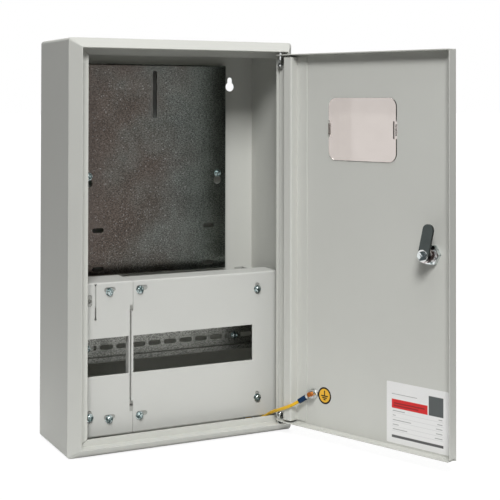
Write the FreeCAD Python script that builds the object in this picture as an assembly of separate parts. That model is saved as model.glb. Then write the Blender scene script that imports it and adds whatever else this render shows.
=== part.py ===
import FreeCAD, Part
import os
from math import acos, atan2, cos, degrees, hypot, pi, sin, tan

V = FreeCAD.Vector
os.makedirs("parts", exist_ok=True)

# Electric meter box for a wall: a welded steel cabinet with a slanted front frame, a galvanised
# meter plate above, two screwed covers over a mounting rail below, and a door on the right.
# Frame: millimetres, X to the right seen from the front, Y towards the wall, Z up.
# The origin is the centre of the back face that lies on the wall.
# The door and what it carries are drawn closed and then swung open about the hinge line.

# Cabinet
cabinet_width = 300.0
cabinet_height = 500.0
cabinet_depth = 130.0
sheet = 1.2
corner_radius = 4.0
front_corner_radius = 0.8
frame_width = 12.5
frame_slant_depth = 16.0
rim_flat = 0.8
lip_setback = 15.0
lip_width = 7.9
lock_lip_width = 11.9
hinge_lip_width = 9.2
lip_seam = 0.8
lip_seam_end = 2.0

# Holes in the cabinet
keyhole_margin_x = 35.0
keyhole_margin_z = 47.0
keyhole_centre_drop = 9.0
keyhole_radius = 6.25
keyhole_slot_width = 7.0
keyhole_slot_rise = 12.8
knockout_radius = 14.0
knockout_pitch = 62.0
knockout_count = 4
knockout_slit = 0.8
knockout_bridge = 3.0
knockout_setback = 52.0

# Meter plate
plate_sheet = 1.0
plate_width = 206.0
plate_bottom = 198.5
plate_top_drop = 27.5
plate_standoff = 11.0
plate_bend_radius = 1.8
plate_screw_spacing = 182.4
plate_screw_height = 327.0
plate_screw_length = 11.0
plate_stem_clearance = 0.25
plate_keyhole_radius = 5.5
plate_keyhole_drop = 9.0
plate_slot_width = 6.0
plate_slot_length = 15.4
plate_slot_spacing_x = 156.0
plate_slot_spacing_z = 50.0
plate_slot_height = 232.2
hanging_slot_drop = 8.5
hanging_slot_length = 63.0

# Mounting rail
rail_end_gap = 16.8
rail_height = 35.0
rail_web_height = 25.0
rail_depth = 7.5
rail_sheet = 1.0
rail_centre_height = 112.5
rail_back_gap = 41.0
rail_slot_pitch = 21.75
rail_slot_margin = 3.0
rail_slot_length = 17.4
rail_slot_width = 6.0
rail_screw_slot = 1
rail_screw_offset = 5.025
bracket_sheet = 1.5
bracket_width = 20.0
bracket_foot = 16.0

# Covers over the rail
cover_sheet = 1.0
cover_setback = 36.0
cover_bottom = 15.5
cover_top = 202.6
cover_end_gap = 10.3
cover_bend_radius = 2.2
right_cover_depth = 36.0
left_cover_depth = 54.0
left_cover_width = 79.5
cover_joint_gap = 0.5
cover_slot_setback = 1.9
cover_slot_width = 2.3
cover_slot_bottom = 55.0
cover_slot_top = 165.0
cover_relief_height = 7.7
cover_lower_relief_height = 13.0
cover_inner_flange = 11.0
window_bottom = 89.4
window_top = 134.9
right_window_setback = 0.6
right_window_margin = 35.6
left_window_margin = 18.1
left_window_setback = 5.5
tear_slit_setback = 48.4
tear_slit_width = 1.6
tear_slit_bottom = 158.5
tear_slit_top = 200.4
tear_hole_radius = 1.5
left_outer_screw_margin = 23.7
right_outer_screw_margin = 28.4
outer_screw_low = 40.2
outer_screw_high = 180.4
inner_screw_low = 35.8
inner_screw_high = 190.8
left_screw_setback = 30.8
middle_screw_setback = 8.9
cover_hole_clearance = 0.4
outer_slot_length = 15.0
outer_slot_width = 6.0
outer_slot_rise = 0.8
inner_slot_length = 14.5
inner_slot_width = 6.4
inner_slot_rise = 2.2
left_slot_shift = 0.7
middle_slot_shift = 3.0

# Bars that carry the covers
bar_sheet = 1.5
bar_flange = 12.0
bar_edge_margin = 7.5
bar_side_gap = 4.0
post_depth_overlap = 14.0
post_foot = 12.0

# Fasteners
m5_radius = 2.5
m6_radius = 3.0
thread_clearance = 0.05
screw_washer_radius = 4.9
screw_washer_height = 1.0
screw_head_radius = 4.0
screw_head_height = 3.0
screw_head_rounding = 1.8
cover_screw_length = 12.0
cross_recess_reach = 2.8
cross_recess_width = 1.5
cross_recess_depth = 1.8
washer_thickness = 1.0
washer_radius = 6.0
m6_nut_flats = 10.0
m6_nut_height = 5.0
m5_nut_flats = 8.0
m5_nut_height = 4.0
rail_screw_length = 10.0

# Door
door_gap = 2.8
door_top_gap = 3.5
door_bottom_gap = 4.0
door_flange_depth = 14.0
door_bend_radius = 1.6
door_open_angle = 110.5
hinge_inset = 8.5
hinge_depth = 5.7
ear_radius = 5.7
ear_taper_start = 18.5
flange_end_trim = 1.2
flange_lower_trim = 3.0
flange_relief = 1.6
flange_relief_clearance = 0.1
drain_hole_radius = 1.8
drain_hole_margin = 13.2
drain_hole_far = 81.6
drain_hole_depth = 8.0
stiffener_start = 20.5
stiffener_width = 13.5
stiffener_hinge_foot = 6.5
stiffener_foot = 16.0
stiffener_bend_radius = 1.8
stiffener_end_gap = 2.8

# Hinge pins
pin_radius = 2.0
pin_clearance = 0.06
pin_head_flats = 7.0
pin_head_height = 9.5
upper_pin_reach = 10.5
lower_pin_play = 0.3
pin_tail = 1.2
hinge_nut_height = 3.2
hinge_washer_radius = 4.5

# Door window
window_width = 104.0
window_height = 77.0
window_radius = 10.5
window_centre_drop = 110.2
pane_clearance = 0.5
pane_flange = 5.0
pane_flange_thickness = 2.0
pane_boss_depth = 2.6
clip_pocket_width = 4.0
clip_pocket_height = 21.0
clip_width = 14.0
clip_thickness = 1.3
clip_barb = 1.3
clip_barb_height = 1.2
clip_play = 0.2
clip_tip = 0.8

# Lock
lock_margin = 32.7
lock_height = 247.3
lock_body_radius = 9.0
lock_body_length = 16.4
lock_head_radius = 11.5
lock_head_thickness = 3.0
lock_head_rounding = 1.5
lock_hole_clearance = 0.15
lock_plug_radius = 6.0
lock_plug_clearance = 0.05
lock_plug_shoulder = 0.3
lock_tail_half = 3.6
lock_tail_clearance = 0.05
lock_nut_flats = 22.0
lock_nut_height = 5.5
key_slot_length = 8.0
key_slot_width = 2.0
key_slot_depth = 4.0
cam_length = 37.4
cam_width = 14.0
cam_thickness = 3.0
cam_lip_clearance = 1.0
cam_lean = 13.0
cam_washer_radius = 7.0
cam_bolt_flats = 10.0
cam_bolt_head = 2.6
cam_bolt_reach = 3.5
cam_thread_depth = 4.0

# Earth connection
door_stud_u = 62.5
door_stud_height = 58.3
door_stud_length = 12.5
cabinet_stud_margin = 37.0
cabinet_stud_setback = 92.0
cabinet_stud_length = 13.0
ring_outer_radius = 5.6
ring_thickness = 0.9
barrel_radius = 2.7
barrel_share = 0.5
neck_root = 4.5
neck_width = 4.4
tongue_reach = 6.8
sleeve_radius = 3.2
sleeve_setback = 2.2
sleeve_clearance = 0.05
door_sleeve_start = (55.0, 6.2, 54.0)
door_sleeve_end = (45.5, 11.7, 47.0)
cabinet_sleeve_start = 9.0
cabinet_sleeve_length = 12.0
cabinet_sleeve_height = 6.2
wire_radius = 2.0
wire_door_lead = 10.3
wire_cabinet_lead = 7.0
wire_arc_share = 0.45

# Points of the earth wire between its sleeves: off the hinge line to the right and to the wall, and
# above the cabinet's underside
wire_middle_points = [
    (-6.1, -17.0, 34.8),
    (-6.8, -3.7, 29.7),
    (-6.3, 8.5, 25.7),
    (-7.8, 23.8, 16.9),
    (-11.0, 37.8, 9.8),
    (-14.4, 49.8, 6.8),
]

# How far cutting shapes run past a face, and how close counts as on a face
past = 1.0
touch = 0.05

# Derived places
bottom = -cabinet_height / 2
top = cabinet_height / 2
front = -cabinet_depth
half_width = cabinet_width / 2
opening_right = half_width - frame_width
lip_face = front + lip_setback
cover_face = front + cover_setback
door_low = bottom + frame_width + door_bottom_gap
door_high = top - frame_width - door_top_gap
door_free_u = cabinet_width - 2 * frame_width - door_gap
hinge_x = opening_right - hinge_inset
hinge_y = front + hinge_depth
cam_v = lip_setback + sheet + cam_lip_clearance
bar_face = cover_face + cover_sheet
plate_face = -sheet - plate_standoff - plate_sheet
rail_web_back = -rail_back_gap
rail_front = rail_web_back - rail_depth
cover_low = bottom + cover_bottom
cover_high = bottom + cover_top
cover_left_end = -half_width + cover_end_gap
cover_right_end = half_width - cover_end_gap
bar_half = cover_right_end - cover_sheet - bar_side_gap
cover_split = cover_left_end + left_cover_width
cover_slot_right = cover_split - cover_slot_setback
cover_slot_left = cover_slot_right - cover_slot_width
left_outer_screw_x = cover_left_end + left_outer_screw_margin
right_outer_screw_x = cover_right_end - right_outer_screw_margin
left_screw_x = cover_split - left_screw_setback
middle_screw_x = cover_split + middle_screw_setback
plate_high = top - plate_top_drop
rail_length = cabinet_width - 2 * (sheet + rail_end_gap)
rail_slot_room = rail_length - rail_slot_length - 2 * rail_slot_margin
rail_slot_count = int(rail_slot_room / rail_slot_pitch) + 1
window_centre_u = half_width - frame_width
window_centre_height = cabinet_height - window_centre_drop
lock_u = door_free_u - lock_margin
cabinet_stud_x = half_width - cabinet_stud_margin
cabinet_stud_y = front + cabinet_stud_setback


def block(x0, x1, y0, y1, z0, z1):
    return Part.makeBox(x1 - x0, y1 - y0, z1 - z0, V(x0, y0, z0))


def rod(radius, start, end):
    return Part.makeCylinder(radius, (end - start).Length, start, end - start)


def tube(outer, inner, start, end):
    return rod(outer, start, end).cut(rod(inner, start, end))


def fuse_all(shapes):
    return shapes[0].multiFuse(shapes[1:]).removeSplitter()


def cut_all(shape, tools):
    return shape.cut(Part.makeCompound(tools))


def prism(points, direction):
    return Part.Face(Part.makePolygon(points + points[:1])).extrude(direction)


def rounded_wire(width, height, radius, y):
    """A rounded rectangle in the plane of the front, centred on the Y axis."""
    x = width / 2
    z = height / 2
    bow = radius * (1 - cos(pi / 4))
    turns = []
    for sx, sz in ((1, 1), (-1, 1), (-1, -1), (1, -1)):
        side = V(sx * x, y, sz * (z - radius))
        end = V(sx * (x - radius), y, sz * z)
        middle = V(sx * (x - bow), y, sz * (z - bow))
        turns.append((side, middle, end) if sx == sz else (end, middle, side))
    edges = []
    for index, turn in enumerate(turns):
        edges.append(Part.Arc(*turn).toShape())
        edges.append(Part.LineSegment(turn[2], turns[(index + 1) % 4][0]).toShape())
    return Part.Wire(edges)


def rounded_block(width, height, radius, y0, y1, centre=V()):
    face = Part.Face(rounded_wire(width, height, radius, y0))
    solid = face.extrude(V(0, y1 - y0, 0))
    solid.translate(centre)
    return solid


def slot_block(centre, length, width, upright, depth):
    """A round-ended slot through a sheet that faces the front; centre is on its front face."""
    reach = (length - width) / 2
    ends = V(0, 0, reach) if upright else V(reach, 0, 0)
    through = V(0, depth, 0)
    shapes = [rod(width / 2, centre + side, centre + side + through) for side in (ends, ends * -1)]
    half = V(width / 2, 0, reach) if upright else V(reach, 0, width / 2)
    shapes.append(block(centre.x - half.x, centre.x + half.x, centre.y, centre.y + depth,
                        centre.z - half.z, centre.z + half.z))
    return fuse_all(shapes)


def keyhole(centre, radius, slot_width, rise, depth):
    """A round entry hole with a narrower slot that runs up from it; rise is to the slot's top."""
    through = V(0, depth, 0)
    seat = centre + V(0, 0, rise - slot_width / 2)
    stem = block(centre.x - slot_width / 2, centre.x + slot_width / 2, centre.y, centre.y + depth,
                 centre.z, seat.z)
    return fuse_all([rod(radius, centre, centre + through), rod(slot_width / 2, seat, seat + through), stem])


def hexagon(flats, start, end, turn=0.0):
    """A hexagonal bar between two points; turn is in degrees about its axis."""
    axis = end - start
    across = V(0, 0, 1).cross(axis)
    if across.Length < 1e-6:
        across = V(1, 0, 0)
    across.normalize()
    corner = flats / 2 / cos(pi / 6)
    points = []
    for index in range(6):
        spoke = FreeCAD.Rotation(axis, turn + 60.0 * index).multVec(across)
        points.append(start + spoke * corner)
    return prism(points, axis)


def round_edges(shape, radius, picks):
    edges = [edge for edge in shape.Edges if picks(edge)]
    return shape.makeFillet(radius, edges) if edges else shape


def lies_along(edge, axis):
    ends = [vertex.Point for vertex in edge.Vertexes]
    if len(ends) != 2:
        return False
    span = ends[1] - ends[0]
    return span.Length > 0 and abs(span.dot(axis)) > 0.999 * span.Length


def faces_front(edge, y):
    """True for an edge that lies on the front face at y."""
    return edge.BoundBox.YMax < y + touch


def at_height(height):
    return bottom + height


def door_point(u, v, height):
    """A point of the closed door: u from the hinge side of the opening, v behind the front rim."""
    return V(opening_right - u, front + v, at_height(height))


def lock_axis(v):
    return door_point(lock_u, v, lock_height)


def open_door(shape):
    shape.rotate(V(hinge_x, hinge_y, 0), V(0, 0, 1), door_open_angle)
    return shape


def lean_cam(shape):
    shape.rotate(lock_axis(0), V(0, 1, 0), -cam_lean)
    return open_door(shape)


def save(name, shape):
    if not shape.isValid():
        print("INVALID", name)
    shape.exportStep("parts/" + name + ".step")
    print(name, len(shape.Solids), "solids", round(shape.Volume, 1), "mm3")


def frustum(inset_back, y_back, inset_front, y_front, radius_back, radius_front):
    wires = []
    for inset, y, radius in ((inset_back, y_back, radius_back), (inset_front, y_front, radius_front)):
        wires.append(rounded_wire(cabinet_width - 2 * inset, cabinet_height - 2 * inset, radius, y))
    return Part.makeLoft(wires, True, True)


def inset_prism(inset, y0, y1, radius):
    return rounded_block(cabinet_width - 2 * inset, cabinet_height - 2 * inset, radius, y0, y1)


def inset_block(inset, y0, y1):
    return block(-half_width + inset, half_width - inset, y0, y1, bottom + inset, top - inset)


def cabinet_envelope():
    """Outside of the walls and of the slanted frame."""
    wall_end = front + frame_slant_depth
    walls = inset_prism(0, wall_end, 0, corner_radius)
    slant = frustum(0, wall_end, frame_width - rim_flat, front, corner_radius, front_corner_radius)
    return fuse_all([walls, slant])


def cabinet_hollow():
    """Inside of the walls and of the slanted frame, up to the frame's folded return."""
    run = frame_width - rim_flat
    slope = frame_slant_depth / run
    shift = sheet * hypot(run, frame_slant_depth) / run
    y_wall = front + slope * (run - sheet) + shift
    y_rim = front + slope * (run - (frame_width - sheet)) + shift
    inner_radius = corner_radius - sheet
    walls = inset_prism(sheet, y_wall, past, inner_radius)
    slant = frustum(sheet, y_wall, frame_width - sheet, y_rim, inner_radius, front_corner_radius)
    return fuse_all([walls, slant])


def lip_seams():
    """Narrow open mitres where the four parts of the lip meet."""
    seams = []
    for sx, side_width in ((-1, lock_lip_width), (1, hinge_lip_width)):
        length = hypot(side_width, lip_width) - lip_seam_end
        for sz in (-1, 1):
            corner = V(sx * (opening_right - side_width), 0, sz * (top - frame_width - lip_width))
            seam = block(-lip_seam / 2, lip_seam / 2, lip_face - sheet, lip_face + 2 * sheet, -past, length)
            seam.rotate(V(), V(0, 1, 0), degrees(atan2(sx * side_width, sz * lip_width)))
            seam.translate(corner)
            seams.append(seam)
    return seams


def knockouts():
    """Round blanks in the top and bottom walls, each held by two bridges."""
    slits = []
    y = -knockout_setback
    for wall_z in (bottom, top - sheet):
        for index in range(knockout_count):
            x = (index - (knockout_count - 1) / 2) * knockout_pitch
            low = V(x, y, wall_z - sheet)
            high = V(x, y, wall_z + 2 * sheet)
            ring = tube(knockout_radius, knockout_radius - knockout_slit, low, high)
            bridge = block(x - knockout_bridge / 2, x + knockout_bridge / 2, y - knockout_radius,
                           y + knockout_radius, low.z, high.z)
            slits.append(ring.cut(bridge))
    return slits


def make_cabinet_shell():
    shell = cabinet_envelope().cut(cabinet_hollow())
    lip_back = lip_face + sheet
    folded = inset_prism(frame_width - sheet, front + sheet, lip_back, front_corner_radius)
    shell = shell.fuse(folded)
    shell = shell.cut(inset_block(frame_width, front - past, lip_face))
    mouth_low = bottom + frame_width + lip_width
    shell = shell.cut(block(lock_lip_width - opening_right, opening_right - hinge_lip_width, lip_face - past,
                            lip_back + past, mouth_low, -mouth_low))
    tools = lip_seams() + knockouts()
    return_top = top - frame_width
    return_low = bottom + frame_width
    for z in (return_top, return_low):
        centre = V(hinge_x, hinge_y, z)
        reach = V(0, 0, 2 * sheet)
        tools.append(rod(pin_radius + thread_clearance, centre - reach, centre + reach))
    shell = cut_all(shell, tools)
    stud = V(cabinet_stud_x, cabinet_stud_y, bottom)
    return shell.cut(rod(m6_radius, stud - V(0, 0, sheet), stud + V(0, 0, 2 * sheet))).removeSplitter()


def make_back_panel():
    panel = inset_prism(sheet, -sheet, 0, corner_radius - sheet)
    holes = []
    for x in (-half_width + keyhole_margin_x, half_width - keyhole_margin_x):
        for z in (bottom + keyhole_margin_z, top - keyhole_margin_z):
            centre = V(x, -2 * sheet, z - keyhole_centre_drop)
            holes.append(keyhole(centre, keyhole_radius, keyhole_slot_width, keyhole_slot_rise, 4 * sheet))
    return cut_all(panel, holes)


def make_meter_plate():
    """Galvanised plate with its top and bottom edges folded back to the wall."""
    low = at_height(plate_bottom)
    half = plate_width / 2
    outer = block(-half, half, plate_face, -sheet, low, plate_high)
    outer = round_edges(outer, plate_bend_radius, lambda edge: faces_front(edge, plate_face)
                        and lies_along(edge, V(1, 0, 0)))
    inner_face = plate_face + plate_sheet
    inner = block(-half - past, half + past, inner_face, 0, low + plate_sheet, plate_high - plate_sheet)
    inner = round_edges(inner, plate_bend_radius - plate_sheet, lambda edge: faces_front(edge, inner_face)
                        and lies_along(edge, V(1, 0, 0)))
    plate = outer.cut(inner)
    deep = 4 * plate_sheet
    y = plate_face - plate_sheet
    stem = m5_radius + plate_stem_clearance
    holes = []
    for sx in (-1, 1):
        seat = V(sx * plate_screw_spacing / 2, y, at_height(plate_screw_height))
        entry = seat - V(0, 0, plate_keyhole_drop)
        holes.append(keyhole(entry, plate_keyhole_radius, 2 * stem, plate_keyhole_drop + stem, deep))
        for sz in (-1, 1):
            centre = V(sx * plate_slot_spacing_x / 2, y, at_height(plate_slot_height)
                       + sz * plate_slot_spacing_z / 2)
            holes.append(slot_block(centre, plate_slot_length, plate_slot_width, False, deep))
    middle = V(0, y, plate_high - hanging_slot_drop - hanging_slot_length / 2)
    holes.append(slot_block(middle, hanging_slot_length, plate_slot_width, True, deep))
    return cut_all(plate, holes)


def screw_seats():
    return [V(sx * plate_screw_spacing / 2, 0, at_height(plate_screw_height)) for sx in (-1, 1)]


def make_plate_standoffs():
    bushes = []
    for seat in screw_seats():
        back = seat - V(0, sheet, 0)
        near = back - V(0, plate_standoff, 0)
        bushes.append(hexagon(m5_nut_flats, back, near).cut(rod(m5_radius + thread_clearance, back, near)))
    return Part.makeCompound(bushes)


def pan_head_screw(seat, length):
    """Cross-head screw with a washer face, pointing back from the sheet that it holds."""
    head_start = seat - V(0, screw_washer_height, 0)
    head_end = head_start - V(0, screw_head_height, 0)
    washer = rod(screw_washer_radius, seat, head_start)
    head = rod(screw_head_radius, head_start, head_end)
    head = round_edges(head, screw_head_rounding, lambda edge: faces_front(edge, head_end.y))
    shank = rod(m5_radius, seat, seat + V(0, length, 0))
    screw = fuse_all([washer, head, shank])
    half = cross_recess_width / 2
    floor = head_end.y + cross_recess_depth
    for size_x, size_z in ((cross_recess_reach, half), (half, cross_recess_reach)):
        recess = block(seat.x - size_x, seat.x + size_x, head_end.y - past, floor, seat.z - size_z,
                       seat.z + size_z)
        screw = screw.cut(recess)
    return screw


def make_plate_screws():
    return Part.makeCompound([pan_head_screw(V(seat.x, plate_face, seat.z), plate_screw_length)
                              for seat in screw_seats()])


def make_din_rail():
    """Top-hat rail with a slotted web."""
    z0 = at_height(rail_centre_height)
    half = rail_height / 2
    web = rail_web_height / 2
    t = rail_sheet
    outer = [(rail_front, half), (rail_front, web - t), (rail_web_back - t, web - t),
             (rail_web_back - t, -web + t), (rail_front, -web + t), (rail_front, -half),
             (rail_front + t, -half), (rail_front + t, -web), (rail_web_back, -web), (rail_web_back, web),
             (rail_front + t, web), (rail_front + t, half)]
    points = [V(-rail_length / 2, y, z0 + z) for y, z in outer]
    rail = prism(points, V(rail_length, 0, 0))
    slots = []
    for index in range(rail_slot_count):
        x = (index - (rail_slot_count - 1) / 2) * rail_slot_pitch
        centre = V(x, rail_web_back - 2 * t, z0)
        slots.append(slot_block(centre, rail_slot_length, rail_slot_width, False, 4 * t))
    return cut_all(rail, slots)


def rail_screw_points():
    """Where the rail is screwed down: near the outer end of the second slot from each end."""
    slot_centre = ((rail_slot_count - 1) / 2 - rail_screw_slot) * rail_slot_pitch
    reach = slot_centre + rail_screw_offset
    return [V(sx * reach, rail_web_back, at_height(rail_centre_height)) for sx in (-1, 1)]


def make_rail_brackets():
    """Two folded brackets from the back panel to the rail's web."""
    brackets = []
    t = bracket_sheet
    for point in rail_screw_points():
        side = 1 if point.x > 0 else -1
        inner = point.x - side * bracket_width / 2
        outer = point.x + side * bracket_width / 2
        foot_end = outer + side * (bracket_foot - t)
        web = outer - side * t
        profile = [(inner, rail_web_back), (outer, rail_web_back), (outer, -sheet - t),
                   (foot_end, -sheet - t), (foot_end, -sheet), (web, -sheet), (web, rail_web_back + t),
                   (inner, rail_web_back + t)]
        low = point.z - bracket_width / 2
        body = prism([V(x, y, low) for x, y in profile], V(0, 0, bracket_width))
        hole = rod(m5_radius + thread_clearance, point - V(0, past, 0), point + V(0, 2 * t, 0))
        brackets.append(body.cut(hole))
    return Part.makeCompound(brackets)


def make_rail_screws():
    screws = []
    for point in rail_screw_points():
        seat = V(point.x, rail_web_back - rail_sheet, point.z)
        screws.append(pan_head_screw(seat, rail_screw_length))
    return Part.makeCompound(screws)


def make_rail_nuts():
    nuts = []
    for point in rail_screw_points():
        start = point + V(0, bracket_sheet, 0)
        end = start + V(0, m5_nut_height, 0)
        nut = hexagon(m5_nut_flats, start, end)
        nuts.append(nut.cut(rod(m5_radius + thread_clearance, start, end)))
    return Part.makeCompound(nuts)


def folded_cover(x_outer, x_joint, depth):
    """Front sheet with top, bottom and outer flanges folded back; open at the joint side."""
    side = 1 if x_outer > x_joint else -1
    t = cover_sheet
    x0, x1 = sorted((x_outer, x_joint))
    back = cover_face + depth
    outer = block(x0, x1, cover_face, back, cover_low, cover_high)
    outer = round_edges(outer, cover_bend_radius, lambda edge: faces_front(edge, cover_face)
                        and abs(edge.BoundBox.Center.x - x_joint) > touch)
    inner_face = cover_face + t
    inner_end = x_joint - side * past
    i0, i1 = sorted((x_outer - side * t, inner_end))
    inner = block(i0, i1, inner_face, back + past, cover_low + t, cover_high - t)
    inner = round_edges(inner, cover_bend_radius - t, lambda edge: faces_front(edge, inner_face)
                        and abs(edge.BoundBox.Center.x - inner_end) > touch)
    return outer.cut(inner)


def cover_window(x0, x1):
    return block(x0, x1, cover_face - past, cover_face + 2 * cover_sheet, at_height(window_bottom),
                 at_height(window_top))


def outer_screw_slot(x, height):
    """An upright slot for a screw near the cabinet's side."""
    centre = V(x, cover_face - past, at_height(height) + outer_slot_rise)
    return slot_block(centre, outer_slot_length, outer_slot_width, True, 3 * cover_sheet)


def inner_screw_slot(x, height, shift):
    """A level slot beside the joint of the covers, with a round seat for the screw in its lower edge."""
    seat = V(x, cover_face - past, at_height(height))
    centre = seat + V(shift, 0, inner_slot_rise)
    slot = slot_block(centre, inner_slot_length, inner_slot_width, False, 3 * cover_sheet)
    return slot.fuse(rod(m5_radius + cover_hole_clearance, seat, seat + V(0, 3 * cover_sheet, 0)))


def inner_flange(x0, x1):
    return block(x0, x1, cover_face, cover_face + cover_inner_flange, at_height(cover_slot_bottom),
                 at_height(cover_slot_top))


def joint_cuts(x_edge, x_slot_edge):
    """Takes the joint side back along the slot, with a relief above and below the folded strip."""
    x0, x1 = sorted((x_edge, x_slot_edge))
    y0 = cover_face - past
    y1 = cover_face + 2 * cover_sheet
    low = at_height(cover_slot_bottom - cover_lower_relief_height)
    high = at_height(cover_slot_top + cover_relief_height)
    return block(x0, x1, y0, y1, low, high)


def make_right_cover():
    joint_edge = cover_split + cover_joint_gap / 2
    cover = folded_cover(cover_right_end, cover_slot_right, right_cover_depth)
    y0 = cover_face - past
    y1 = cover_face + right_cover_depth + past
    slot_low = at_height(cover_slot_bottom)
    slot_high = at_height(cover_slot_top)
    above = block(cover_slot_right - past, joint_edge, y0, y1, slot_high, cover_high + past)
    below = block(cover_slot_right - past, joint_edge, y0, y1, cover_low - past, slot_low)
    flange = inner_flange(cover_slot_right, cover_slot_right + cover_sheet)
    cover = fuse_all([cut_all(cover, [above, below]), flange])
    tools = [cover_window(cover_split + right_window_setback, cover_right_end - right_window_margin)]
    for height in (inner_screw_low, inner_screw_high):
        tools.append(inner_screw_slot(middle_screw_x, height, middle_slot_shift))
    for height in (outer_screw_low, outer_screw_high):
        tools.append(outer_screw_slot(right_outer_screw_x, height))
    return cut_all(cover, tools)


def make_left_cover():
    joint_edge = cover_split - cover_joint_gap / 2
    cover = folded_cover(cover_left_end, joint_edge, left_cover_depth)
    flange = inner_flange(cover_slot_left - cover_sheet, cover_slot_left)
    cover = fuse_all([cut_all(cover, [joint_cuts(joint_edge + past, cover_slot_left)]), flange])
    y = cover_face - past
    tools = [cover_window(cover_left_end + left_window_margin, cover_split - left_window_setback)]
    for height in (inner_screw_low, inner_screw_high):
        tools.append(inner_screw_slot(left_screw_x, height, left_slot_shift))
    for height in (outer_screw_low, outer_screw_high):
        tools.append(outer_screw_slot(left_outer_screw_x, height))
    slit_x = cover_split - tear_slit_setback
    slit_low = at_height(tear_slit_bottom)
    slit_high = at_height(tear_slit_top)
    half = tear_slit_width / 2
    tools.append(block(slit_x - half, slit_x + half, y, y + 3 * cover_sheet, slit_low, slit_high))
    for z in (slit_low, slit_high):
        end = V(slit_x, y, z)
        tools.append(rod(tear_hole_radius, end, end + V(0, 3 * cover_sheet, 0)))
    return cut_all(cover, tools)


def upper_screw_points():
    return [(left_outer_screw_x, outer_screw_high), (left_screw_x, inner_screw_high),
            (middle_screw_x, inner_screw_high), (right_outer_screw_x, outer_screw_high)]


def lower_screw_points():
    return [(left_outer_screw_x, outer_screw_low), (left_screw_x, inner_screw_low),
            (middle_screw_x, inner_screw_low), (right_outer_screw_x, outer_screw_low)]


def make_cover_bar(points):
    """Channel behind the covers with a tapped hole for each cover screw."""
    heights = [height for x, height in points]
    low = at_height(min(heights) - bar_edge_margin)
    high = at_height(max(heights) + bar_edge_margin)
    t = bar_sheet
    outer = block(-bar_half, bar_half, bar_face, bar_face + bar_flange, low, high)
    hollow = block(-bar_half - past, bar_half + past, bar_face + t, bar_face + bar_flange + past, low + t,
                   high - t)
    bar = outer.cut(hollow)
    holes = []
    for x, height in points:
        seat = V(x, bar_face - past, at_height(height))
        holes.append(rod(m5_radius + thread_clearance, seat, seat + V(0, 3 * t, 0)))
    return cut_all(bar, holes)


def make_cover_posts():
    """Four folded posts that carry the ends of the two bars from the back panel."""
    posts = []
    t = bar_sheet
    near = bar_face + t
    for points in (upper_screw_points(), lower_screw_points()):
        heights = [height for x, height in points]
        low = at_height(min(heights) - bar_edge_margin) + t
        high = at_height(max(heights) + bar_edge_margin) - t
        for side in (-1, 1):
            web = side * bar_half
            inner = side * (bar_half - post_depth_overlap)
            foot = side * (bar_half - post_foot)
            profile = [(inner, near), (web, near), (web, -sheet), (foot, -sheet), (foot, -sheet - t),
                       (web - side * t, -sheet - t), (web - side * t, near + t), (inner, near + t)]
            posts.append(prism([V(x, y, low) for x, y in profile], V(0, 0, high - low)))
    return Part.makeCompound(posts)


def make_cover_screws():
    points = upper_screw_points()[1:] + lower_screw_points()
    seats = [V(x, cover_face, at_height(height)) for x, height in points]
    return Part.makeCompound([pan_head_screw(seat, cover_screw_length) for seat in seats])


def ear_cut():
    """Trims the ends of the door's top and bottom flanges to a round ear about the hinge line."""
    arm_u = ear_taper_start - hinge_inset
    arm_v = door_flange_depth - hinge_depth
    tangent = atan2(arm_v, arm_u) + acos(ear_radius / hypot(arm_u, arm_v))
    middle = (tangent + pi) / 2
    z = door_low - past

    def at(u, v):
        return V(opening_right - u, front + v, z)

    def on_ear(angle):
        return at(hinge_inset + ear_radius * cos(angle), hinge_depth + ear_radius * sin(angle))

    start = at(hinge_inset - ear_radius, hinge_depth)
    touch = on_ear(tangent)
    taper = at(ear_taper_start, door_flange_depth)
    beyond = at(ear_taper_start, door_flange_depth + past)
    outer = at(-past, door_flange_depth + past)
    corner = at(-past, hinge_depth)
    edges = [Part.Arc(start, on_ear(middle), touch).toShape()]
    for p, q in ((touch, taper), (taper, beyond), (beyond, outer), (outer, corner), (corner, start)):
        edges.append(Part.LineSegment(p, q).toShape())
    return Part.Face(Part.Wire(edges)).extrude(V(0, 0, door_high - door_low + 2 * past))


def make_door_panel():
    """Pan-shaped door: a front sheet with flanges at the free side, the top and the bottom."""
    x0 = opening_right - door_free_u
    x1 = opening_right - door_gap
    outer = block(x0, x1, front, front + door_flange_depth, door_low, door_high)
    outer = round_edges(outer, door_bend_radius, lambda edge: faces_front(edge, front)
                        and edge.BoundBox.Center.x < x1 - touch)
    y_back = front + door_flange_depth + past
    inner = block(x0 + sheet, x1 + past, front + sheet, y_back, door_low + sheet, door_high - sheet)
    panel = outer.cut(inner)
    tools = [ear_cut()]
    y_bend = front + 2 * door_bend_radius
    trims = ((door_low - past, door_low + flange_lower_trim), (door_high - flange_end_trim, door_high + past))
    for z0, z1 in trims:
        tools.append(block(x0 - past, x0 + sheet, y_bend, y_back, z0, z1))
    for z in (door_low, door_high - sheet):
        tools.append(block(x0 - past, x0 + sheet + flange_relief, y_bend, y_back, z - flange_relief_clearance,
                           z + sheet + flange_relief_clearance))
    for height in (door_low, door_high):
        centre = V(hinge_x, hinge_y, height)
        reach = V(0, 0, 2 * sheet)
        tools.append(rod(pin_radius + pin_clearance, centre - reach, centre + reach))
    for u in (door_free_u - drain_hole_margin, drain_hole_far):
        start = V(opening_right - u, front + drain_hole_depth, door_low - sheet)
        tools.append(rod(drain_hole_radius, start, start + V(0, 0, 3 * sheet)))
    window = rounded_block(window_width, window_height, window_radius, -past, sheet + past)
    window.translate(door_point(window_centre_u, 0, window_centre_height))
    tools.append(window)
    tools.append(rod(lock_body_radius + lock_hole_clearance, lock_axis(-past), lock_axis(sheet + past)))
    return open_door(cut_all(panel, tools))


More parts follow.
